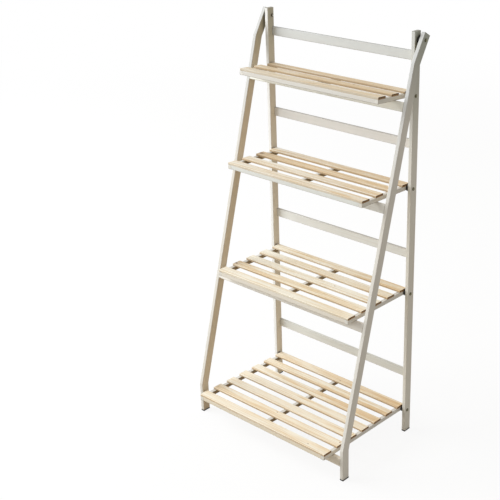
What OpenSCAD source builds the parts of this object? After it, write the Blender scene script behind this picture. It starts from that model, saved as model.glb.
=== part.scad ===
// Folding wooden plant ladder stand with four slatted shelves.
// Millimetres, +Z up, front towards -Y, origin on the floor under the middle of the stand.
// Inside the modules y is counted from the front face of the rear posts.

/* [Overall] */
// Width over the outer faces of the front legs
stand_w = 600; // [480:5:800]
// Height of the rear posts above the floor
stand_h = 1250; // [1100:10:1400]
// Flat cut along the long edges of every board
edge_ease = 0.8; // [0.2:0.1:1.5]
// Thickness of the glides under the four feet
glide_t = 4; // [2:0.5:8]

/* [Rear frame] */
// Thickness of the rear posts, seen from the front
post_t = 12; // [10:0.5:18]
// Depth of the rear posts, front to back
post_w = 26; // [24:1:36]
// Height of the rear rails
back_rail_h = 26; // [16:1:34]
// Thickness of the rear rails
back_rail_t = 8; // [6:0.5:9]

/* [Front frame] */
// Thickness of the front legs, seen from the front
leg_t = 12; // [10:0.5:18]
// Width of the front legs, seen from the side
leg_w = 26; // [22:1:34]
// Gap between a front leg and the rear post beside it
leg_gap = 10; // [7:0.5:16]
// Lean of the main length of the front legs, in degrees
leg_lean = 15.4; // [13.5:0.1:17]
// Lean of the short top length of the front legs, in degrees
top_lean = 30.5; // [24:0.5:36]
// Depth of the top hinge below the tops of the rear posts
hinge_drop = 22.5; // [16:0.5:40]
// Distance of the top hinge behind the front faces of the rear posts
hinge_in = 17.5; // [10:0.5:19]
// Drop from the top hinge to the upper bend of the front legs
knee_drop = 58.5; // [40:0.5:80]
// Height of the lower bend of the front legs above the floor
foot_h = 97; // [80:1:130]
// Length of the front legs above the top hinge
tip_len = 18; // [12:0.5:24]
// Height of the front crossbars
crossbar_h = 26; // [18:0.5:32]
// Thickness of the front crossbars
crossbar_t = 12; // [8:0.5:14]

/* [Shelves] */
// Gap between a shelf and the rear post beside it
shelf_gap = 7; // [4:0.5:12]
// Distance of the shelf pivots behind the front faces of the rear posts
pivot_in = 10; // [8:0.5:11]
// Length of a shelf behind its pivots
tail_len = 6; // [5:0.5:7]
// Height of the side rails, the batten and the front board of a shelf
frame_h = 12.5; // [11:0.5:18]
// Thickness of the side rails
side_rail_t = 12; // [9:0.5:16]
// Thickness of the centre batten
batten_t = 12; // [8:0.5:20]
// Thickness of the front board
front_board_t = 12; // [8:0.5:16]
// Width of the slats, front to back
slat_w = 32; // [24:1:40]
// Thickness of the slats
slat_t = 6.5; // [5:0.5:9]

/* [Top shelf] */
// Drop from the tops of the rear posts to the pivots of the top shelf
shelf_1_drop = 177; // [165:1:210]
// Rise of the top shelf towards its front, in degrees
shelf_1_tilt = 3.8; // [0:0.1:6]
// Overhang of the top shelf past its front crossbar
shelf_1_out = 74.5; // [50:0.5:90]
// Height of the rear rail above the pivots of the top shelf
back_rail_1_up = 94.5; // [84:0.5:110]

/* [Second shelf] */
// Drop from the pivots of the top shelf to those of the second shelf
shelf_2_drop = 269.5; // [240:0.5:300]
// Rise of the second shelf towards its front, in degrees
shelf_2_tilt = 1.1; // [0:0.1:4]
// Overhang of the second shelf past its front crossbar
shelf_2_out = 64; // [40:0.5:75]
// Height of the rear rail above the pivots of the second shelf
back_rail_2_up = 114; // [100:0.5:150]

/* [Third shelf] */
// Drop from the pivots of the second shelf to those of the third shelf
shelf_3_drop = 329.5; // [300:0.5:360]
// Rise of the third shelf towards its front, in degrees
shelf_3_tilt = 0.3; // [0:0.1:3]
// Overhang of the third shelf past its front crossbar
shelf_3_out = 32; // [24:0.5:40]
// Height of the rear rail above the pivots of the third shelf
back_rail_3_up = 108; // [98:0.5:150]

/* [Bottom shelf] */
// Height of the pivots of the bottom shelf above the floor
shelf_4_z = 75; // [60:0.5:84]
// Rise of the bottom shelf towards its front, in degrees
shelf_4_tilt = 0.6; // [0:0.1:2]
// Overhang of the bottom shelf past its front crossbar
shelf_4_out = 36; // [26:0.5:50]
// Height of the rear rail above the pivots of the bottom shelf
back_rail_4_up = 109; // [100:0.5:150]

/* [Bolts] */
// Diameter of the bolt shanks
bolt_d = 5; // [4:0.5:6]
// Diameter of the bolt heads
head_d = 9.5; // [8:0.5:12]
// Height of the bolt heads
head_h = 3; // [2:0.5:4]
// Width of the nuts across their flats
nut_w = 8; // [7:0.5:10]
// Height of the nuts
nut_h = 4; // [3:0.5:5]
// Length of each bolt past its nut
bolt_end = 1.5; // [0.5:0.5:3]
// Width of the hexagon socket in the bolt heads, across its flats
socket_w = 3; // [2:0.5:3.5]
// Depth of the hexagon socket in the bolt heads
socket_h = 1.5; // [1:0.25:2]
// Diameter of the spacers
spacer_d = 20; // [14:1:24]

/* [Clearances] */
// Radial clearance of a bolt in a part that turns on it
bolt_fit = 0.05; // [0.02:0.01:0.1]
// Side gap between a turning part and the spacer, head or nut beside it
side_gap = 0.3; // [0.2:0.05:0.5]
// Gap between a lowered shelf and the crossbar under it
rest_gap = 0.1; // [0.05:0.05:0.5]

/* [Hidden] */
$fn = 48;

// The shelves and what belongs to them, from the top one down
shelf_1_z = stand_h - shelf_1_drop;
shelf_2_z = shelf_1_z - shelf_2_drop;
shelf_3_z = shelf_2_z - shelf_3_drop;
shelf_z = [shelf_1_z, shelf_2_z, shelf_3_z, shelf_4_z];
shelf_tilt = [shelf_1_tilt, shelf_2_tilt, shelf_3_tilt, shelf_4_tilt];
shelf_out = [shelf_1_out, shelf_2_out, shelf_3_out, shelf_4_out];
slat_count = [3, 4, 5, 7];
back_rail_up = [back_rail_1_up, back_rail_2_up, back_rail_3_up, back_rail_4_up];

// Faces across the stand, on the right-hand side
leg_out_x = stand_w / 2;
leg_in_x = leg_out_x - leg_t;
post_out_x = leg_in_x - leg_gap;
post_in_x = post_out_x - post_t;
shelf_x = post_in_x - shelf_gap;
rail_in_x = shelf_x - side_rail_t;

// Centre line of a front leg as [y, z] points, from the tip down to the foot
function along(a) = [sin(a), cos(a)];
function across(a) = [cos(a), -sin(a)];
hinge = [hinge_in, stand_h - hinge_drop];
tip = hinge + tip_len * along(top_lean);
upper_bend = hinge - knee_drop / cos(top_lean) * along(top_lean);
lower_bend = upper_bend - (upper_bend[1] - foot_h) / cos(leg_lean) * along(leg_lean);
foot = [lower_bend[0], glide_t];

// Half the width of a leg, square to one length of it and along the mitre of two
function square_cut(a) = leg_w / 2 * across(a);
function mitre(a, b) = leg_w / 2 * (across(a) + across(b)) / (1 + cos(a - b));

// Front faces of the legs: y of the feet, and y of the leaning length at height z
foot_front_y = foot[0] - leg_w / 2;
lean_front_y = lower_bend[0] - leg_w / 2 / cos(leg_lean) - foot_h * tan(leg_lean);
function leg_front_y(z) = lean_front_y + z * tan(leg_lean);

// Top front edge of crossbar n: as high as the underside of its shelf lets its top reach.
// A leaning crossbar meets the shelf with its front edge, the upright bottom one with its back.
function under_z(n) = shelf_z[n - 1] - frame_h / 2 / cos(shelf_tilt[n - 1]) - rest_gap;
function leaning_top_z(n) = (under_z(n) + (pivot_in - lean_front_y) * tan(shelf_tilt[n - 1]))
    / (1 + tan(leg_lean) * tan(shelf_tilt[n - 1]));
function upright_top_z(n) = under_z(n)
    + (pivot_in - foot_front_y - crossbar_t) * tan(shelf_tilt[n - 1]);
function in_foot(n) = n == 4;
function crossbar_z(n) = in_foot(n) ? upright_top_z(n) : leaning_top_z(n);
function crossbar_y(n) = in_foot(n) ? foot_front_y : leg_front_y(crossbar_z(n));
function crossbar_lean(n) = in_foot(n) ? 0 : leg_lean;

// Reach of shelf n in front of its pivots, its depth, and the step from slat to slat
function reach(n) = (pivot_in - crossbar_y(n)) / cos(shelf_tilt[n - 1]) + shelf_out[n - 1];
function shelf_depth(n) = reach(n) + tail_len;
function slat_step(n) = (shelf_depth(n) - slat_w) / (slat_count[n - 1] - 1);

// Middle of the stand from front to back, which the origin is under
function shelf_front_y(n) = pivot_in - reach(n) * cos(shelf_tilt[n - 1])
    - frame_h / 2 * sin(shelf_tilt[n - 1]);
front_y = min([for (n = [1:4]) shelf_front_y(n)]);
back_y = max(post_w, tip[0] + square_cut(top_lean)[0]);
middle_y = (front_y + back_y) / 2;

// Length of cutting tools past what they cut
cut = 1;

post_colour = "#d3cdc2";
rail_colour = "#cdc6b9";
leg_colour = "#d3cdc2";
frame_colour = "#cfc9bd";
slat_colour = "#ddc8a8";
spacer_colour = "#1d1b1a";
bolt_colour = "#2a2826";
nut_colour = "#8d8a86";

module placed() {
    translate([0, -middle_y, 0]) children();
}

module both_sides() {
    children();
    mirror([1, 0, 0]) children();
}

// Section of a board, u by v, with its corners eased
module section(u, v) {
    polygon([
        [-u / 2 + edge_ease, -v / 2], [u / 2 - edge_ease, -v / 2],
        [u / 2, -v / 2 + edge_ease], [u / 2, v / 2 - edge_ease],
        [u / 2 - edge_ease, v / 2], [-u / 2 + edge_ease, v / 2],
        [-u / 2, v / 2 - edge_ease], [-u / 2, -v / 2 + edge_ease]
    ]);
}

// Board across the stand, centred on x, with its lowest corner at [y, z] = [0, 0]
module board_across(length, depth, height) {
    translate([0, depth / 2, height / 2])
        rotate([90, 0, 90])
        linear_extrude(length, center = true)
        section(depth, height);
}

// Board along y, centred on x and z, from y = 0 forward
module board_along(length, thickness, height) {
    rotate([90, 0, 0])
        linear_extrude(length)
        section(thickness, height);
}

// Round bar along x from x = from to x = to
module round_bar(from, to, d) {
    translate([from, 0, 0])
        rotate([0, 90, 0])
        cylinder(h = to - from, d = d);
}

// Bolt along x with the seat of its head at x = seat and its end at x = end
module bolt(end, seat) {
    round_bar(end, seat + head_h / 2, bolt_d);
    difference() {
        translate([seat, 0, 0])
            rotate([0, 90, 0])
            rotate_extrude()
            polygon([
                [0, 0], [head_d / 2, 0], [head_d / 2, head_h / 2],
                [head_d / 3, head_h], [0, head_h]
            ]);
        translate([seat + head_h - socket_h, 0, 0])
            rotate([0, 90, 0])
            cylinder(h = socket_h + cut, d = socket_w / cos(30), $fn = 6);
    }
}

// Nut with its face at x = seat, on the side towards the middle of the stand
module nut(seat) {
    difference() {
        translate([seat - nut_h, 0, 0])
            rotate([0, 90, 0])
            cylinder(h = nut_h, d = nut_w / cos(30), $fn = 6);
        round_bar(seat - nut_h - cut, seat + cut, bolt_d);
    }
}

module spacer(from, to) {
    difference() {
        round_bar(from, to, spacer_d);
        round_bar(from - cut, to + cut, bolt_d);
    }
}

module at_hinge() {
    translate([0, hinge[0], hinge[1]]) children();
}

module at_pivot(n) {
    translate([0, pivot_in, shelf_z[n - 1]]) children();
}

module at_crossbar(n) {
    translate([0, crossbar_y(n), crossbar_z(n)])
        rotate([-crossbar_lean(n), 0, 0])
        children();
}

// Rear frame

module right_post() {
    difference() {
        translate([(post_in_x + post_out_x) / 2, post_w / 2, glide_t])
            linear_extrude(stand_h - glide_t)
            section(post_t, post_w);
        at_hinge() round_bar(post_in_x - cut, post_out_x + cut, bolt_d);
        for (n = [1:4]) at_pivot(n) round_bar(post_in_x - cut, post_out_x + cut, bolt_d);
    }
}

module rear_post_right() {
    color(post_colour) placed() right_post();
}

module rear_post_left() {
    color(post_colour) placed() mirror([1, 0, 0]) right_post();
}

module rear_rail(n) {
    color(rail_colour) placed()
        translate([0, post_w - back_rail_t, shelf_z[n - 1] + back_rail_up[n - 1]])
        board_across(2 * post_in_x, back_rail_t, back_rail_h);
}

module rear_glides() {
    color(spacer_colour) placed() both_sides()
        translate([post_in_x, 0, 0])
        cube([post_t, post_w, glide_t]);
}

// Front frame

// One length of a leg from point p to point q, leaning by a, with the given half cuts at its ends
module leg_length(p, q, a, cut_p, cut_q) {
    zone = 1.5;
    intersection() {
        translate([0, p[0], p[1]])
            rotate([-a, 0, 0])
            translate([0, 0, -leg_w])
            linear_extrude(norm(q - p) + 2 * leg_w)
            section(leg_t, leg_w);
        rotate([90, 0, 90])
            linear_extrude(leg_t + 2 * cut, center = true)
            polygon([p - zone * cut_p, q - zone * cut_q, q + zone * cut_q, p + zone * cut_p]);
    }
}

module right_leg() {
    low_mitre = mitre(0, leg_lean);
    high_mitre = mitre(leg_lean, top_lean);
    difference() {
        translate([(leg_in_x + leg_out_x) / 2, 0, 0]) {
            leg_length(foot, lower_bend, 0, square_cut(0), low_mitre);
            leg_length(lower_bend, upper_bend, leg_lean, low_mitre, high_mitre);
            leg_length(upper_bend, tip, top_lean, high_mitre, square_cut(top_lean));
        }
        at_hinge() round_bar(leg_in_x - cut, leg_out_x + cut, bolt_d + 2 * bolt_fit);
    }
}

module front_leg_right() {
    color(leg_colour) placed() right_leg();
}

module front_leg_left() {
    color(leg_colour) placed() mirror([1, 0, 0]) right_leg();
}

module front_crossbar(n) {
    color(leg_colour) placed()
        at_crossbar(n)
        translate([0, 0, -crossbar_h])
        board_across(2 * leg_in_x, crossbar_t, crossbar_h);
}

module front_glides() {
    color(spacer_colour) placed() both_sides()
        translate([leg_in_x, foot_front_y, 0])
        cube([leg_t, leg_w, glide_t]);
}

// Bolts, nuts and spacers

module hinge_bolts() {
    color(bolt_colour) placed() both_sides()
        at_hinge()
        bolt(post_in_x - nut_h - bolt_end, leg_out_x + side_gap);
}

module hinge_nuts() {
    color(nut_colour) placed() both_sides()
        at_hinge()
        nut(post_in_x);
}

module hinge_spacers() {
    color(spacer_colour) placed() both_sides()
        at_hinge()
        spacer(post_out_x, leg_in_x - side_gap);
}

module shelf_bolts() {
    color(bolt_colour) placed() both_sides()
        for (n = [1:4]) at_pivot(n) bolt(rail_in_x - side_gap - nut_h - bolt_end, post_out_x);
}

module shelf_nuts() {
    color(nut_colour) placed() both_sides()
        for (n = [1:4]) at_pivot(n) nut(rail_in_x - side_gap);
}

module shelf_spacers() {
    color(spacer_colour) placed() both_sides()
        for (n = [1:4]) at_pivot(n) spacer(shelf_x + side_gap, post_in_x);
}

// Shelves, each drawn level around its pivots and then tilted

module on_shelf(n) {
    at_pivot(n) rotate([-shelf_tilt[n - 1], 0, 0]) children();
}

module right_rail(n) {
    difference() {
        on_shelf(n)
            translate([shelf_x - side_rail_t / 2, tail_len, 0])
            board_along(shelf_depth(n), side_rail_t, frame_h);
        at_pivot(n) round_bar(rail_in_x - cut, shelf_x + cut, bolt_d + 2 * bolt_fit);
    }
}

module shelf_rail_right(n) {
    color(frame_colour) placed() right_rail(n);
}

module shelf_rail_left(n) {
    color(frame_colour) placed() mirror([1, 0, 0]) right_rail(n);
}

module shelf_batten(n) {
    color(frame_colour) placed()
        on_shelf(n)
        translate([0, tail_len, 0])
        board_along(shelf_depth(n) - front_board_t, batten_t, frame_h);
}

module shelf_front_board(n) {
    color(frame_colour) placed()
        on_shelf(n)
        translate([0, -reach(n), -frame_h / 2])
        board_across(2 * rail_in_x, front_board_t, frame_h);
}

module shelf_slat(n, i) {
    color(slat_colour) placed()
        on_shelf(n)
        translate([0, (i - 1) * slat_step(n) - reach(n), frame_h / 2])
        board_across(2 * shelf_x, slat_w, slat_t);
}

rear_post_left();
rear_post_right();
rear_rail(1);  // rear_rail_1
rear_rail(2);  // rear_rail_2
rear_rail(3);  // rear_rail_3
rear_rail(4);  // rear_rail_4
rear_glides();
front_leg_left();
front_leg_right();
front_crossbar(1);  // front_crossbar_1
front_crossbar(2);  // front_crossbar_2
front_crossbar(3);  // front_crossbar_3
front_crossbar(4);  // front_crossbar_4
front_glides();
hinge_bolts();
hinge_nuts();
hinge_spacers();
shelf_bolts();
shelf_nuts();
shelf_spacers();
shelf_rail_left(1);  // shelf_1_rail_left
shelf_rail_right(1);  // shelf_1_rail_right
shelf_batten(1);  // shelf_1_batten
shelf_front_board(1);  // shelf_1_front_board
shelf_slat(1, 1);  // shelf_1_slat_1
shelf_slat(1, 2);  // shelf_1_slat_2
shelf_slat(1, 3);  // shelf_1_slat_3
shelf_rail_left(2);  // shelf_2_rail_left
shelf_rail_right(2);  // shelf_2_rail_right
shelf_batten(2);  // shelf_2_batten
shelf_front_board(2);  // shelf_2_front_board
shelf_slat(2, 1);  // shelf_2_slat_1
shelf_slat(2, 2);  // shelf_2_slat_2
shelf_slat(2, 3);  // shelf_2_slat_3
shelf_slat(2, 4);  // shelf_2_slat_4
shelf_rail_left(3);  // shelf_3_rail_left
shelf_rail_right(3);  // shelf_3_rail_right
shelf_batten(3);  // shelf_3_batten
shelf_front_board(3);  // shelf_3_front_board
shelf_slat(3, 1);  // shelf_3_slat_1
shelf_slat(3, 2);  // shelf_3_slat_2
shelf_slat(3, 3);  // shelf_3_slat_3
shelf_slat(3, 4);  // shelf_3_slat_4
shelf_slat(3, 5);  // shelf_3_slat_5
shelf_rail_left(4);  // shelf_4_rail_left
shelf_rail_right(4);  // shelf_4_rail_right
shelf_batten(4);  // shelf_4_batten
shelf_front_board(4);  // shelf_4_front_board
shelf_slat(4, 1);  // shelf_4_slat_1
shelf_slat(4, 2);  // shelf_4_slat_2
shelf_slat(4, 3);  // shelf_4_slat_3
shelf_slat(4, 4);  // shelf_4_slat_4
shelf_slat(4, 5);  // shelf_4_slat_5
shelf_slat(4, 6);  // shelf_4_slat_6
shelf_slat(4, 7);  // shelf_4_slat_7
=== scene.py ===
"""Looks of the folding plant ladder stand: whitewashed wood, pine slats, camera and light."""

import math

import bmesh
import bpy
from mathutils import Matrix, Vector


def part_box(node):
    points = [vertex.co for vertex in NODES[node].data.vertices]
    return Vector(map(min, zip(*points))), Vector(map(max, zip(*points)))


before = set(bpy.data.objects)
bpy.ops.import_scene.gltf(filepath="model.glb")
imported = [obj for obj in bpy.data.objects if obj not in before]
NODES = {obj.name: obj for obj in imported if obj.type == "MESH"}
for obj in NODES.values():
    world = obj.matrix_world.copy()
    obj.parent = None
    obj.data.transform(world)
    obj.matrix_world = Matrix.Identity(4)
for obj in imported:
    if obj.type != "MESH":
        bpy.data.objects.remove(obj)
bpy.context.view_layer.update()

# How far each lowered shelf rises towards the front, in degrees, the top shelf first
SHELF_TILT = {1: 3.8, 2: 1.1, 3: 0.3, 4: 0.6}

# Middle line of the front legs, for grain that follows their two bends
FOOT_TOP_Z, KNEE_Z = 0.097, 1.169
LEG_SLOPE = math.tan(math.radians(15.4))
TIP_SLOPE = math.tan(math.radians(30.5))

# Camera of the photograph, solved from its edges together with the stand. AXIS_PX is the pixel
# that the lens looks straight at.
IMAGE_PX = 500
SENSOR_MM = 36.0
FOCAL_PX = 1057.219
AXIS_PX = (315.0, 250.0)
CAMERA_AT = (1.94238, -2.11732, 1.83242)
AZIMUTH, ELEVATION, ROLL = (math.radians(a) for a in (41.7001, 23.3157, -0.6684))
CAMERA_SEES_TO = 200.0

# Light: an even warm room, and one broad, slightly cool lamp from the front left
ROOM_TINT = (1.0, 0.962, 0.912, 1.0)
ROOM_STRENGTH = 0.535
LAMP_AT, LAMP_AIM = (-4.4, -2.5, 3.1), (0.0, 0.0, 0.6)
LAMP_WATTS, LAMP_SIZE = 366.0, 5.0
LAMP_TINT = (0.95, 0.98, 1.0)

# Floor: seen white, and tan in the light that it throws back on the stand. What is seen holds
# FLOOR_SHADE of real shading, which fades out between two distances from the middle.
FLOOR_HALF, FLOOR_Z = 40.0, -0.0002
FLOOR_BOUNCE = (0.47, 0.42, 0.34, 1.0)
FLOOR_SHADE = 0.12
SHADE_FULL, SHADE_NONE = 2.5, 5.5
WHITE = (1.0, 1.0, 1.0, 1.0)


def colour(red, green, blue):
    """Linear RGBA of an sRGB colour from 0 to 255."""
    channels = []
    for value in (red, green, blue):
        value /= 255
        channels.append(value / 12.92 if value <= 0.04045 else ((value + 0.055) / 1.055) ** 2.4)
    return (*channels, 1.0)


# Pine: pale and tan wood, late wood of the rings, wash, sawn sides and ends
CREAM = colour(245, 232, 206)
TAN = colour(230, 201, 156)
RING = colour(210, 174, 124)
WASH = colour(250, 245, 231)
KNOT = colour(128, 88, 54)
SAWN = colour(190, 164, 130)
SAWN_PALE = colour(214, 203, 182)
END = colour(104, 74, 42)
END_LOW = colour(178, 138, 92)
END_RING = colour(82, 56, 32)

# Whitewash, the wood under it, faces to the middle, bare ones darkened by painted shade, bare tops,
# painted shade under edges, dust
PAINT = colour(228, 226, 220)
PAINT_THICK = colour(232, 231, 226)
PAINT_BRIGHT = colour(238, 235, 229)
PAINT_WOOD = colour(190, 168, 134)
PAINT_INSIDE = colour(224, 208, 182)
POST_INSIDE = colour(240, 229, 209)
# Bare wood, darkened further as painted shade where the slats shade it
BARE_INSIDE_AND_SHADE = colour(160, 138, 105)
BARE_TOP = colour(150, 143, 126)
UNDER_EDGE_SHADE = colour(112, 100, 80)
DUST = colour(120, 116, 110)

# Painted shade that darkens the tops of posts and legs, as tints and the heights over which
# they set in: first on fronts and backs, then on the sides, and the share of it on inner sides
TOP_SHADE_FRONT, TOP_SHADE_FRONT_Z = (0.83, 0.865, 0.92, 1.0), (0.72, 1.15)
TOP_SHADE_SIDES, TOP_SHADE_SIDES_Z = (0.54, 0.60, 0.58, 1.0), (0.98, 1.28)
INNER_TOP_SHADE = 0.77

# Noise in each material, in cycles per metre: along the grain of wood and in the two directions
# across it, or along X, Y and Z
PAINT_DRIFT = (2.2, 24.0, 24.0)
PAINT_STREAK = (5.0, 260.0, 260.0)
PAINT_FIBRE = (26.0, 1500.0, 1500.0)
PAINT_RUB = (14.0, 90.0, 90.0)
PAINT_CLOUD = (7.0, 7.0, 7.0)
PINE_WARP = (2.6, 18.0, 18.0)
PINE_BROAD = (3.0, 45.0, 45.0)
PINE_BAND = (8.0, 95.0, 95.0)
PINE_WASH = (6.5, 80.0, 80.0)
PINE_STREAK = (3.2, 330.0, 330.0)
PINE_FIBRE = (22.0, 1700.0, 1700.0)
PINE_RUB = (18.0, 60.0, 60.0)
MOULDED_SPECK = (900.0, 900.0, 900.0)
MOULDED_DUST = (60.0, 60.0, 60.0)
STEEL_TURNED = (3200.0, 160.0, 160.0)
STEEL_CLOUD = (140.0, 140.0, 140.0)

# Shares of bare wood where the paint is thin, in its pores and where its edges are rubbed
THIN_SHARE, PORE_SHARE, RUB_SHARE = 0.12, 0.10, 0.55
# Specular level of paint and wood
WOOD_GLOSS = 0.35

# Growth rings of the pine: their number per metre, and the pith that they go round. It lies
# under the slat, and from slat to slat it moves sideways, turns and lies more or less deep.
RINGS_PER_M = 300.0
PITH_DEPTH = 0.020
PITH_ASIDE, PITH_SLANT, PITH_SWING = 0.016, 0.030, 0.012
# How far each step of a slat's seed moves its noise, so that no two slats look alike
SEED_STEP = (3.17, 1.31, 0.73)

# Radius of the eased edges, and depth of the relief of the surface
BOARD_EDGE, SLAT_EDGE, MOULDED_EDGE, STEEL_EDGE = 0.0022, 0.0012, 0.0008, 0.0006
PAINT_RELIEF, PINE_RELIEF, MOULDED_RELIEF, STEEL_RELIEF = 0.00025, 0.0002, 0.0001, 0.00006
# Width of the gaps that painted shade fills
BOARD_GAP, RAIL_GAP, LEG_GAP, SLAT_GAP = 0.022, 0.010, 0.034, 0.012


class Graph:
    """Short forms for building nodes, in a tree that is emptied first."""

    def __init__(self, tree):
        tree.nodes.clear()
        self.tree = tree

    def node(self, kind, **settings):
        made = self.tree.nodes.new("ShaderNode" + kind)
        for name, value in settings.items():
            setattr(made, name, value)
        return made

    def put(self, socket, value):
        """Links a socket to an output, or sets it to a number, vector or colour."""
        if isinstance(value, bpy.types.NodeSocket):
            self.tree.links.new(value, socket)
        else:
            socket.default_value = value

    def math(self, operation, a, b=0.0, c=0.0, clamp=False):
        made = self.node("Math", operation=operation, use_clamp=clamp)
        for socket, value in zip(made.inputs, (a, b, c)):
            self.put(socket, value)
        return made.outputs[0]

    def plus(self, a, b, clamp=False):
        return self.math("ADD", a, b, clamp=clamp)

    def minus(self, a, b):
        return self.math("SUBTRACT", a, b)

    def times(self, a, b):
        return self.math("MULTIPLY", a, b)

    def larger(self, a, b):
        return self.math("MAXIMUM", a, b)

    def vector(self, operation, a, b=(0.0, 0.0, 0.0)):
        made = self.node("VectorMath", operation=operation)
        self.put(made.inputs[0], a)
        self.put(made.inputs[1], b)
        return made.outputs["Value" if operation in ("LENGTH", "DOT_PRODUCT") else "Vector"]

    def split(self, vector):
        made = self.node("SeparateXYZ")
        self.put(made.inputs[0], vector)
        return made.outputs

    def join(self, x, y, z):
        made = self.node("CombineXYZ")
        for socket, value in zip(made.inputs, (x, y, z)):
            self.put(socket, value)
        return made.outputs[0]

    def place(self):
        """Place on the piece, in the stand's frame at rest."""
        return self.node("TexCoord").outputs["Object"]

    def facing(self):
        """Direction that the surface faces, in the stand's frame at rest."""
        return self.node("TexCoord").outputs["Normal"]

    def true_normal(self):
        """Direction that the flat face looks in, as the piece stands in the room."""
        return self.node("NewGeometry").outputs["True Normal"]

    def noise(self, vector, scale, detail=3.0, roughness=0.55):
        """Noise around 0.5, stretched by a scale per axis, in cycles per metre."""
        made = self.node("TexNoise")
        self.put(made.inputs["Vector"], self.vector("MULTIPLY", vector, scale))
        made.inputs["Scale"].default_value = 1.0
        made.inputs["Detail"].default_value = detail
        made.inputs["Roughness"].default_value = roughness
        return made.outputs["Fac"]

    def step(self, value, low, high, out_low=0.0, out_high=1.0):
        """Smooth step from out_low to out_high as value goes from low to high."""
        made = self.node("MapRange", interpolation_type="SMOOTHSTEP")
        self.put(made.inputs["Value"], value)
        limits = (("From Min", low), ("From Max", high), ("To Min", out_low), ("To Max", out_high))
        for name, number in limits:
            self.put(made.inputs[name], number)
        return made.outputs["Result"]

    def mix(self, factor, a, b, blend="MIX"):
        made = self.node("Mix", data_type="RGBA", blend_type=blend)
        self.put(made.inputs[0], factor)
        self.put(made.inputs[6], a)
        self.put(made.inputs[7], b)
        return made.outputs[2]

    def tint(self, base, by, share=1.0):
        """Base multiplied by a colour, or by a share of it."""
        return self.mix(share, base, by, "MULTIPLY")

    def crevice_shade(self, base, reach, deepest=0.42):
        """Base darkened as painted shade in corners and in gaps narrower than reach, a little warmer
        there.
        """
        hollow = self.node("AmbientOcclusion", samples=8)
        hollow.inputs["Distance"].default_value = reach
        shade = self.step(hollow.outputs["AO"], 0.12, 0.72, deepest, 1.0)
        green, blue = (self.math("POWER", shade, exponent) for exponent in (1.1, 1.25))
        return self.tint(base, self.join(shade, green, blue))

    def bump(self, height, strength, distance, normal):
        made = self.node("Bump")
        made.inputs["Strength"].default_value = strength
        made.inputs["Distance"].default_value = distance
        self.put(made.inputs["Height"], height)
        self.put(made.inputs["Normal"], normal)
        return made.outputs[0]

    def blend(self, factor, first, second):
        """Shader that is first at factor 0 and second at factor 1."""
        made = self.node("MixShader")
        for socket, value in zip(made.inputs, (factor, first, second)):
            self.put(socket, value)
        return made.outputs[0]


def new_material(name):
    made = bpy.data.materials.new(name)
    made.use_nodes = True
    graph = Graph(made.node_tree)
    shader = graph.node("BsdfPrincipled")
    graph.put(graph.node("OutputMaterial").inputs["Surface"], shader.outputs[0])
    return made, graph, shader


def edges(graph, radius):
    """Rounded normal, and a mask of the eased edges from 0 on the flats to 1 on the edges."""
    bevel = graph.node("Bevel", samples=6)
    bevel.inputs["Radius"].default_value = radius
    turn = graph.vector("DOT_PRODUCT", bevel.outputs[0], graph.true_normal())
    return bevel.outputs[0], graph.step(turn, 0.995, 0.86)


def grain_space(graph, along):
    """Place turned so that its x runs along the board: along is x, y, z or leg."""
    place = graph.place()
    x, y, z = graph.split(place)
    if along == "x":
        return place
    if along == "y":
        return graph.join(y, x, z)
    if along == "leg":
        above_foot = graph.larger(graph.minus(z, FOOT_TOP_Z), 0.0)
        above_knee = graph.larger(graph.minus(z, KNEE_Z), 0.0)
        y = graph.minus(y, graph.times(above_foot, LEG_SLOPE))
        y = graph.minus(y, graph.times(above_knee, TIP_SLOPE - LEG_SLOPE))
    return graph.join(z, y, x)


def worn_paint(graph, space, edge):
    """Streaks and fibres of the wood, and the share of it that shows through the paint."""
    drift = graph.noise(space, PAINT_DRIFT, 2.0)
    streak = graph.noise(space, PAINT_STREAK, 4.0, 0.6)
    fibre = graph.noise(space, PAINT_FIBRE, 3.0, 0.6)
    rub = graph.noise(space, PAINT_RUB)
    thin = graph.times(graph.step(streak, 0.40, 0.68), graph.step(drift, 0.35, 0.65, 0.25, 1.0))
    pores = graph.step(fibre, 0.60, 0.78)
    rubbed = graph.times(edge, graph.step(rub, 0.46, 0.66))
    shown = graph.plus(graph.times(thin, THIN_SHARE), graph.times(pores, PORE_SHARE))
    shown = graph.plus(shown, graph.times(rubbed, RUB_SHARE), clamp=True)
    return streak, fibre, shown


def side_masks(graph):
    """Masks of the faces that look towards the middle of the stand, and away from it.

    A batten lies in the middle, and both its sides count as the first kind.
    """
    facing = graph.split(graph.facing())[0]
    place = graph.split(graph.place())[0]
    off_middle = graph.step(graph.math("ABSOLUTE", place), 0.02, 0.03)
    away = graph.times(graph.times(facing, graph.math("SIGN", place)), off_middle)
    on_batten = graph.times(graph.math("ABSOLUTE", facing), graph.minus(1.0, off_middle))
    return graph.step(graph.minus(on_batten, away), 0.6, 0.9), graph.step(away, 0.6, 0.9)


def lower_edge_shade(graph, rounded, upward):
    """Mask of painted shade at the lower edges: beside them, and half as strong on a face that slants
    down.
    """
    downturn = graph.minus(graph.split(rounded)[2], upward)
    beside = graph.step(downturn, -0.12, -0.55)
    slanted = graph.math("COMPARE", upward, -0.70, 0.06)
    return graph.larger(beside, graph.times(slanted, 0.5))


def top_shaded(graph, base, inner, outer, front_top_shade, top_shade_z):
    """Base darkened towards the top as painted shade: one tint on front and back, another on sides."""
    height = graph.split(graph.place())[2]
    off_sides = graph.minus(1.0, graph.larger(outer, inner))
    on_sides = graph.larger(outer, graph.times(inner, INNER_TOP_SHADE))
    if front_top_shade is not None:
        base = graph.tint(base, front_top_shade, graph.times(graph.step(height, *TOP_SHADE_FRONT_Z), off_sides))
    return graph.tint(base, TOP_SHADE_SIDES, graph.times(graph.step(height, *top_shade_z), on_sides))


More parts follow.
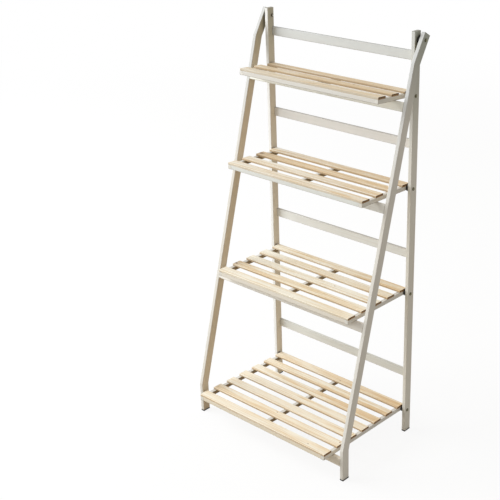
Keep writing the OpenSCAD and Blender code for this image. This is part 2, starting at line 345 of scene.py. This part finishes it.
def whitewash(name, along, paint, inside, top=None, gap=BOARD_GAP, front_top_shade=None, top_shade_z=None):
    """Thin white paint through which the grain shows, rubbed off a little at the edges.

    The faces that look towards the middle of the stand take the colour inside and the upper
    faces the colour top. A thin line of painted shade follows the lower edges; more fills the gaps.
    Painted shade darkens a piece towards its top where heights for it are given, its front too if tinted.
    """
    made, graph, shader = new_material(name)
    space = grain_space(graph, along)
    rounded, edge = edges(graph, BOARD_EDGE)
    streak, fibre, shown = worn_paint(graph, space, edge)
    inner, outer = side_masks(graph)
    upward = graph.split(graph.true_normal())[2]

    base = graph.mix(shown, graph.mix(inner, paint, inside), PAINT_WOOD)
    if top is not None:
        base = graph.mix(graph.step(upward, 0.75, 0.95, 0.0, 0.9), base, top)
    # Painted shade: a thin dark line along the lower edges
    base = graph.mix(graph.times(lower_edge_shade(graph, rounded, upward), 0.75), base, UNDER_EDGE_SHADE)
    shade = graph.plus(graph.times(graph.noise(space, PAINT_CLOUD), 0.10), 0.95)
    base = graph.tint(base, graph.join(shade, shade, shade))
    # Painted shade that darkens the piece towards its top
    if top_shade_z is not None:
        base = top_shaded(graph, base, inner, outer, front_top_shade, top_shade_z)

    relief = graph.plus(fibre, graph.times(streak, 0.8))
    # Colour darkened by painted shade in corners and gaps
    graph.put(shader.inputs["Base Color"], graph.crevice_shade(base, gap))
    graph.put(shader.inputs["Roughness"], graph.step(streak, 0.3, 0.7, 0.52, 0.66))
    graph.put(shader.inputs["Normal"], graph.bump(relief, 0.35, PAINT_RELIEF, rounded))
    shader.inputs["Specular IOR Level"].default_value = WOOD_GLOSS
    return made


def growth_rings(graph, own, place, seed, marks):
    """Mask of the dark late wood, which bends round the marks, and the distance to each mark."""
    x, y, z = place
    pith_aside = PITH_ASIDE * math.sin(seed * 2.4)
    pith_slant = PITH_SLANT * math.cos(seed * 1.7)
    pith_depth = PITH_DEPTH + PITH_SWING * math.cos(seed * 3.3)
    warp = graph.times(graph.minus(graph.noise(own, PINE_WARP, 2.0), 0.5), 0.030)
    across = graph.plus(graph.plus(graph.minus(y, pith_aside), graph.times(x, pith_slant)), warp)
    distances = []
    for along, aside, size in marks:
        beside = graph.join(graph.times(graph.minus(x, along), 0.55), graph.minus(y, aside), 0.0)
        distance = graph.vector("LENGTH", beside)
        distances.append(distance)
        across = graph.plus(across, graph.step(distance, size * 6, 0.0, 0.0, size * 3))
    radius = graph.vector("LENGTH", graph.join(across, graph.plus(z, pith_depth), 0.0))
    ring = graph.math("FRACT", graph.times(radius, RINGS_PER_M))
    return graph.times(graph.step(ring, 0.25, 0.92), graph.step(ring, 1.0, 0.94)), distances


def pine(name, node, tilt, tone, seed, cast, sides, marks=()):
    """A pine slat: growth rings along x, tan heartwood, bands of pale wash, dark sawn ends.

    The share of heartwood goes from one number of tone to the other over the slat's length.
    The whole slat is multiplied by the colour cast, and its long sides take the colour sides.
    """
    made, graph, shader = new_material(name)
    low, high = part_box(node)
    turn = graph.node("VectorRotate", rotation_type="X_AXIS")
    graph.put(turn.inputs["Vector"], graph.vector("SUBTRACT", graph.place(), tuple((low + high) / 2)))
    turn.inputs["Angle"].default_value = math.radians(tilt)
    level = turn.outputs[0]
    x, y, z = graph.split(level)
    own = graph.vector("ADD", level, tuple(seed * step for step in SEED_STEP))

    def around(scale, detail, gain):
        """Noise around 0 that reaches about half of gain both ways."""
        return graph.times(graph.minus(graph.noise(own, scale, detail), 0.5), gain)

    late, distances = growth_rings(graph, own, (x, y, z), seed, marks)
    left, right = tone
    slope = (right - left) / float(high[0] - low[0])
    share = graph.plus(graph.times(x, slope), (left + right) / 2)
    patches = graph.plus(around(PINE_BROAD, 1.0, 1.5), around(PINE_BAND, 2.0, 1.9))
    heart = graph.step(graph.plus(patches, share), 0.15, 1.0)
    wash = graph.minus(graph.plus(around(PINE_WASH, 2.0, 3.0), 0.62), share)
    wash = graph.step(wash, 0.0, 0.9, 0.0, 0.85)
    streak = graph.noise(own, PINE_STREAK, 4.0, 0.6)
    fibre = graph.noise(own, PINE_FIBRE, 3.0, 0.6)

    base = graph.mix(heart, CREAM, TAN)
    base = graph.mix(graph.times(late, 0.42), base, RING)
    base = graph.mix(graph.step(streak, 0.46, 0.68, 0.0, 0.55), base, WASH)
    base = graph.mix(wash, base, WASH)
    base = graph.mix(graph.step(streak, 0.50, 0.32, 0.0, 0.45), base, RING)
    base = graph.mix(graph.step(fibre, 0.58, 0.80, 0.0, 0.20), base, RING)
    for distance, (_, _, size) in zip(distances, marks):
        ragged = graph.plus(distance, graph.times(graph.minus(streak, 0.5), size))
        base = graph.mix(graph.step(ragged, size * 1.5, size * 0.6, 0.0, 0.8), base, KNOT)

    rounded, edge = edges(graph, SLAT_EDGE)
    rubbed = graph.times(edge, graph.step(graph.noise(own, PINE_RUB), 0.42, 0.62))
    base = graph.mix(graph.times(rubbed, 0.35), base, WASH)

    facing_x, facing_y, _ = graph.split(graph.facing())
    sawn_side = graph.step(graph.math("ABSOLUTE", facing_y), 0.75, 0.95)
    side_colour = graph.mix(graph.times(late, 0.35), sides, RING)
    side_colour = graph.mix(graph.times(wash, 0.35), side_colour, WASH)
    base = graph.mix(graph.times(sawn_side, 0.9), base, side_colour)
    sawn_end = graph.step(graph.math("ABSOLUTE", facing_x), 0.6, 0.9)
    end_colour = graph.mix(graph.step(z, 0.0012, -0.0016), END, END_LOW)
    end_colour = graph.mix(graph.times(late, 0.5), end_colour, END_RING)
    base = graph.tint(graph.mix(sawn_end, base, end_colour), cast)

    relief = graph.plus(fibre, graph.times(late, -0.5))
    # Colour darkened by painted shade in corners and gaps
    graph.put(shader.inputs["Base Color"], graph.crevice_shade(base, SLAT_GAP, 0.55))
    graph.put(shader.inputs["Roughness"], graph.step(streak, 0.3, 0.7, 0.50, 0.64))
    graph.put(shader.inputs["Normal"], graph.bump(relief, 0.35, PINE_RELIEF, rounded))
    shader.inputs["Specular IOR Level"].default_value = WOOD_GLOSS
    return made


def moulded(name, base, roughness):
    """Black rubber or plastic with a fine moulded texture and dusty edges."""
    made, graph, shader = new_material(name)
    speck = graph.noise(graph.place(), MOULDED_SPECK)
    dust = graph.noise(graph.place(), MOULDED_DUST, 4.0)
    rounded, edge = edges(graph, MOULDED_EDGE)
    share = graph.plus(graph.times(graph.step(dust, 0.45, 0.75), 0.08), graph.times(edge, 0.06))
    graph.put(shader.inputs["Base Color"], graph.mix(share, base, DUST))
    graph.put(shader.inputs["Roughness"], graph.step(dust, 0.3, 0.7, roughness, roughness + 0.15))
    graph.put(shader.inputs["Normal"], graph.bump(speck, 0.4, MOULDED_RELIEF, rounded))
    return made


def steel(name, base, worn, roughness, flat_out_highlight=None, flat_in_highlight=None):
    """Steel with turned marks, rubbed to the colour worn at its edges.

    Faces square to the bolts carry a painted highlight, lighter than the rest, in one colour where
    they look outwards and in another where they look towards the middle of the stand.
    """
    made, graph, shader = new_material(name)
    place = graph.place()
    turned = graph.noise(place, STEEL_TURNED)
    cloud = graph.noise(place, STEEL_CLOUD)
    rounded, edge = edges(graph, STEEL_EDGE)
    share = graph.plus(graph.times(edge, 0.6), graph.step(cloud, 0.5, 0.8, 0.0, 0.25), clamp=True)
    metal = graph.mix(share, base, worn)
    # Painted highlight on the flat faces square to the bolts
    if flat_out_highlight is not None:
        square = graph.split(graph.true_normal())[0]
        outwards = graph.times(square, graph.math("SIGN", graph.split(place)[0]))
        metal = graph.mix(graph.step(outwards, 0.93, 0.99), metal, flat_out_highlight)
        metal = graph.mix(graph.step(outwards, -0.93, -0.99), metal, flat_in_highlight)
    graph.put(shader.inputs["Base Color"], metal)
    graph.put(shader.inputs["Roughness"], graph.step(cloud, 0.3, 0.7, roughness, roughness + 0.18))
    graph.put(shader.inputs["Normal"], graph.bump(turned, 0.25, STEEL_RELIEF, rounded))
    shader.inputs["Metallic"].default_value = 1.0
    return made


def dress(node, material):
    """Gives a CAD node its material through its own slots."""
    slots = NODES[node].material_slots
    if not slots:
        NODES[node].data.materials.append(material)
    for slot in slots:
        slot.material = material


# Painted wood

# Posts: the left one's paint is lighter, as painted light against the leg's shadow; the right one's is
# darker, with painted shade reaching wider gaps and lower down its sides
POST_LOOK = {
    "left": {"paint": colour(245, 246, 245), "gap": 0.012, "top_shade_z": TOP_SHADE_SIDES_Z},
    "right": {
        "paint": colour(231, 229, 221), "gap": 0.040, "front_top_shade": TOP_SHADE_FRONT, "top_shade_z": (0.79, 1.38)},
}
LEG_PAINT = {"left": colour(224, 221, 214), "right": PAINT}
# Paint of the rear rails, the top one first: rails 2 and 3 lighter as painted light against the shelves'
# shade, rail 1 greyer as painted shade near the top
RAIL_PAINT_AND_LIGHT = {
    1: colour(215, 218, 218), 2: colour(235, 234, 232), 3: colour(235, 236, 233), 4: colour(224, 225, 220)}
# Upper faces of the rear rails, darker on the higher rails
RAIL_TOP = {
    1: colour(169, 170, 164), 2: colour(187, 186, 179), 3: colour(200, 198, 190), 4: colour(218, 218, 210)}
# Paint of the crossbars: 1 and 4 toned down as painted shade where the boards and slats above shade them
CROSSBAR_PAINT_AND_SHADE = {1: colour(240, 240, 232), 2: PAINT_THICK, 3: PAINT_BRIGHT, 4: colour(236, 228, 214)}
BOARD_PAINT = {
    1: colour(223, 221, 216), 2: colour(226, 228, 225), 3: colour(230, 224, 213), 4: colour(231, 221, 202)}

for side, look in POST_LOOK.items():
    dress(f"rear_post_{side}", whitewash(
        f"post_{side}_whitewash", "z", inside=POST_INSIDE, top=BARE_TOP, **look))
    dress(f"front_leg_{side}", whitewash(
        f"leg_{side}_whitewash", "leg", LEG_PAINT[side], PAINT_INSIDE, gap=LEG_GAP,
        front_top_shade=TOP_SHADE_FRONT, top_shade_z=TOP_SHADE_SIDES_Z))
# Faces of rails and battens that look to the middle: bare wood darkened further as painted shade under the
# slats
side_wood = whitewash("side_rail_whitewash", "y", PAINT, BARE_INSIDE_AND_SHADE)
for n in SHELF_TILT:
    for part, paint, top, gap in (
        (f"rear_rail_{n}", RAIL_PAINT_AND_LIGHT[n], RAIL_TOP[n], RAIL_GAP),
        (f"front_crossbar_{n}", CROSSBAR_PAINT_AND_SHADE[n], None, BOARD_GAP),
        (f"shelf_{n}_front_board", BOARD_PAINT[n], None, BOARD_GAP),
    ):
        dress(part, whitewash(part + "_whitewash", "x", paint, PAINT_INSIDE, top, gap))
    for part in ("rail_left", "rail_right", "batten"):
        dress(f"shelf_{n}_{part}", side_wood)

# Slats

# Share of tan heartwood at the left and right ends of each slat, from the front one back
SLAT_TONE = {
    1: ((0.50, 0.75), (0.75, 1.00), (0.90, 0.85)),
    2: ((0.35, 0.45), (0.40, 0.45), (0.95, 0.85), (0.45, 0.60)),
    3: ((0.00, 0.15), (0.60, 0.30), (0.00, 0.10), (0.00, 0.45), (0.15, 0.70)),
    4: ((0.05, 0.30), (0.45, 0.30), (0.00, 0.40), (0.00, 0.20), (0.10, 0.75), (0.10, 0.65), (0.25, 0.85)),
}
# Tint of the slats of each shelf
SLAT_CAST = {
    1: (0.91, 0.935, 0.98, 1.0), 2: (0.98, 0.99, 1.02, 1.0),
    3: (1.025, 1.035, 1.04, 1.0), 4: (1.035, 1.02, 1.0, 1.0)}
# Small brown marks: along and across the slat from its middle, and radius, in metres
SLAT_MARKS = {
    (1, 2): ((0.11, 0.004, 0.0016),),
    (2, 3): ((-0.252, 0.0, 0.006),),
    (3, 2): ((-0.256, -0.006, 0.004),),
    (3, 3): ((0.09, 0.006, 0.0014),),
    (4, 1): ((0.185, -0.002, 0.0014),),
    (4, 2): ((-0.002, 0.008, 0.0015), (0.2515, 0.006, 0.0015)),
    (4, 7): ((0.02, -0.006, 0.0014),),
}
for n, tones in SLAT_TONE.items():
    for i, tone in enumerate(tones, 1):
        node = f"shelf_{n}_slat_{i}"
        sides = SAWN_PALE if i == 1 and n < 4 else SAWN
        dress(node, pine(
            f"pine_{n}_{i}", node, SHELF_TILT[n], tone, 7 * n + i, SLAT_CAST[n], sides,
            SLAT_MARKS.get((n, i), ())))

# Small parts

rubber = moulded("glide_rubber", colour(34, 33, 32), 0.62)
plastic = moulded("spacer_plastic", colour(30, 28, 27), 0.45)
# Bolts: a painted highlight on their flat faces, and a darker rest that stands for the shade round them
plated = steel(
    "plated_steel", colour(84, 80, 60), colour(124, 120, 100), 0.36,
    flat_out_highlight=colour(140, 136, 110), flat_in_highlight=colour(216, 212, 200))
burnished = steel("burnished_steel", colour(104, 97, 76), colour(142, 136, 116), 0.40)
for node, material in (
    ("rear_glides", rubber), ("front_glides", rubber),
    ("hinge_spacers", plastic), ("shelf_spacers", plastic),
    ("hinge_bolts", plated), ("shelf_bolts", plated),
    ("hinge_nuts", burnished), ("shelf_nuts", burnished),
):
    dress(node, material)


# Floor and light


def background_ray(graph):
    """1 for the rays that show the background: camera, glossy and transmission rays."""
    light_path = graph.node("LightPath")
    camera_ray, glossy_ray, through_ray = (
        light_path.outputs[f"Is {kind} Ray"] for kind in ("Camera", "Glossy", "Transmission"))
    return graph.larger(graph.larger(camera_ray, glossy_ray), through_ray)


def floor_paint():
    """Seen white, with a share of real shading near the stand, and tan to all other rays."""
    made = bpy.data.materials.new("floor_white")
    made.use_nodes = True
    graph = Graph(made.node_tree)
    shown = background_ray(graph)
    matt = graph.node("BsdfDiffuse")
    graph.put(matt.inputs["Color"], graph.mix(shown, FLOOR_BOUNCE, WHITE))
    glow = graph.node("Emission")
    glow.inputs["Color"].default_value = WHITE
    glow.inputs["Strength"].default_value = 1.0
    from_middle = graph.vector("LENGTH", graph.place())
    glowing = graph.step(from_middle, SHADE_FULL, SHADE_NONE, 1.0 - FLOOR_SHADE, 1.0)
    surface = graph.blend(graph.times(shown, glowing), matt.outputs[0], glow.outputs[0])
    graph.put(graph.node("OutputMaterial").inputs["Surface"], surface)
    return made


def new_floor():
    """One square face, a little under the stand's feet."""
    mesh = bpy.data.meshes.new("floor")
    shape = bmesh.new()
    corners = ((-1, -1), (1, -1), (1, 1), (-1, 1))
    shape.faces.new([shape.verts.new((x * FLOOR_HALF, y * FLOOR_HALF, FLOOR_Z)) for x, y in corners])
    shape.to_mesh(mesh)
    shape.free()
    mesh.materials.append(floor_paint())
    made = bpy.data.objects.new("floor", mesh)
    bpy.context.scene.collection.objects.link(made)
    return made


def studio_world():
    """Pale warm room that is seen white."""
    made = bpy.data.worlds.new("studio")
    made.use_nodes = True
    graph = Graph(made.node_tree)
    room = graph.node("Background")
    room.inputs["Color"].default_value = ROOM_TINT
    room.inputs["Strength"].default_value = ROOM_STRENGTH
    white = graph.node("Background")
    white.inputs["Color"].default_value = WHITE
    surface = graph.blend(background_ray(graph), room.outputs[0], white.outputs[0])
    graph.put(graph.node("OutputWorld").inputs["Surface"], surface)
    return made


def new_lamp():
    """Round lamp that looks from LAMP_AT to LAMP_AIM."""
    data = bpy.data.lights.new("key", "AREA")
    data.shape = "DISK"
    data.size = LAMP_SIZE
    data.energy = LAMP_WATTS
    data.color = LAMP_TINT
    made = bpy.data.objects.new("key", data)
    bpy.context.scene.collection.objects.link(made)
    made.location = LAMP_AT
    made.rotation_euler = (Vector(LAMP_AIM) - Vector(LAMP_AT)).to_track_quat("-Z", "Y").to_euler()


floor = new_floor()
bpy.context.scene.world = studio_world()
new_lamp()


# Camera


def photo_camera():
    """Camera that stands and looks as the photograph's did."""
    level = Vector((math.cos(AZIMUTH), math.sin(AZIMUTH), 0.0))
    ahead = Vector((-math.sin(AZIMUTH), math.cos(AZIMUTH), 0.0))
    forward = math.cos(ELEVATION) * ahead - Vector((0.0, 0.0, math.sin(ELEVATION)))
    upright = level.cross(forward)
    to_right = math.cos(ROLL) * level + math.sin(ROLL) * upright
    to_top = math.cos(ROLL) * upright - math.sin(ROLL) * level
    data = bpy.data.cameras.new("photo_camera")
    data.sensor_width = SENSOR_MM
    data.lens = FOCAL_PX * SENSOR_MM / IMAGE_PX
    data.shift_x = (IMAGE_PX / 2 - AXIS_PX[0]) / IMAGE_PX
    data.shift_y = (AXIS_PX[1] - IMAGE_PX / 2) / IMAGE_PX
    data.clip_end = CAMERA_SEES_TO
    made = bpy.data.objects.new("photo_camera", data)
    bpy.context.scene.collection.objects.link(made)
    turn = Matrix((to_right, to_top, -forward)).transposed().to_4x4()
    made.matrix_world = Matrix.Translation(CAMERA_AT) @ turn
    return made


camera = photo_camera()
bpy.context.scene.camera = camera
bpy.context.scene.view_settings.view_transform = "Standard"
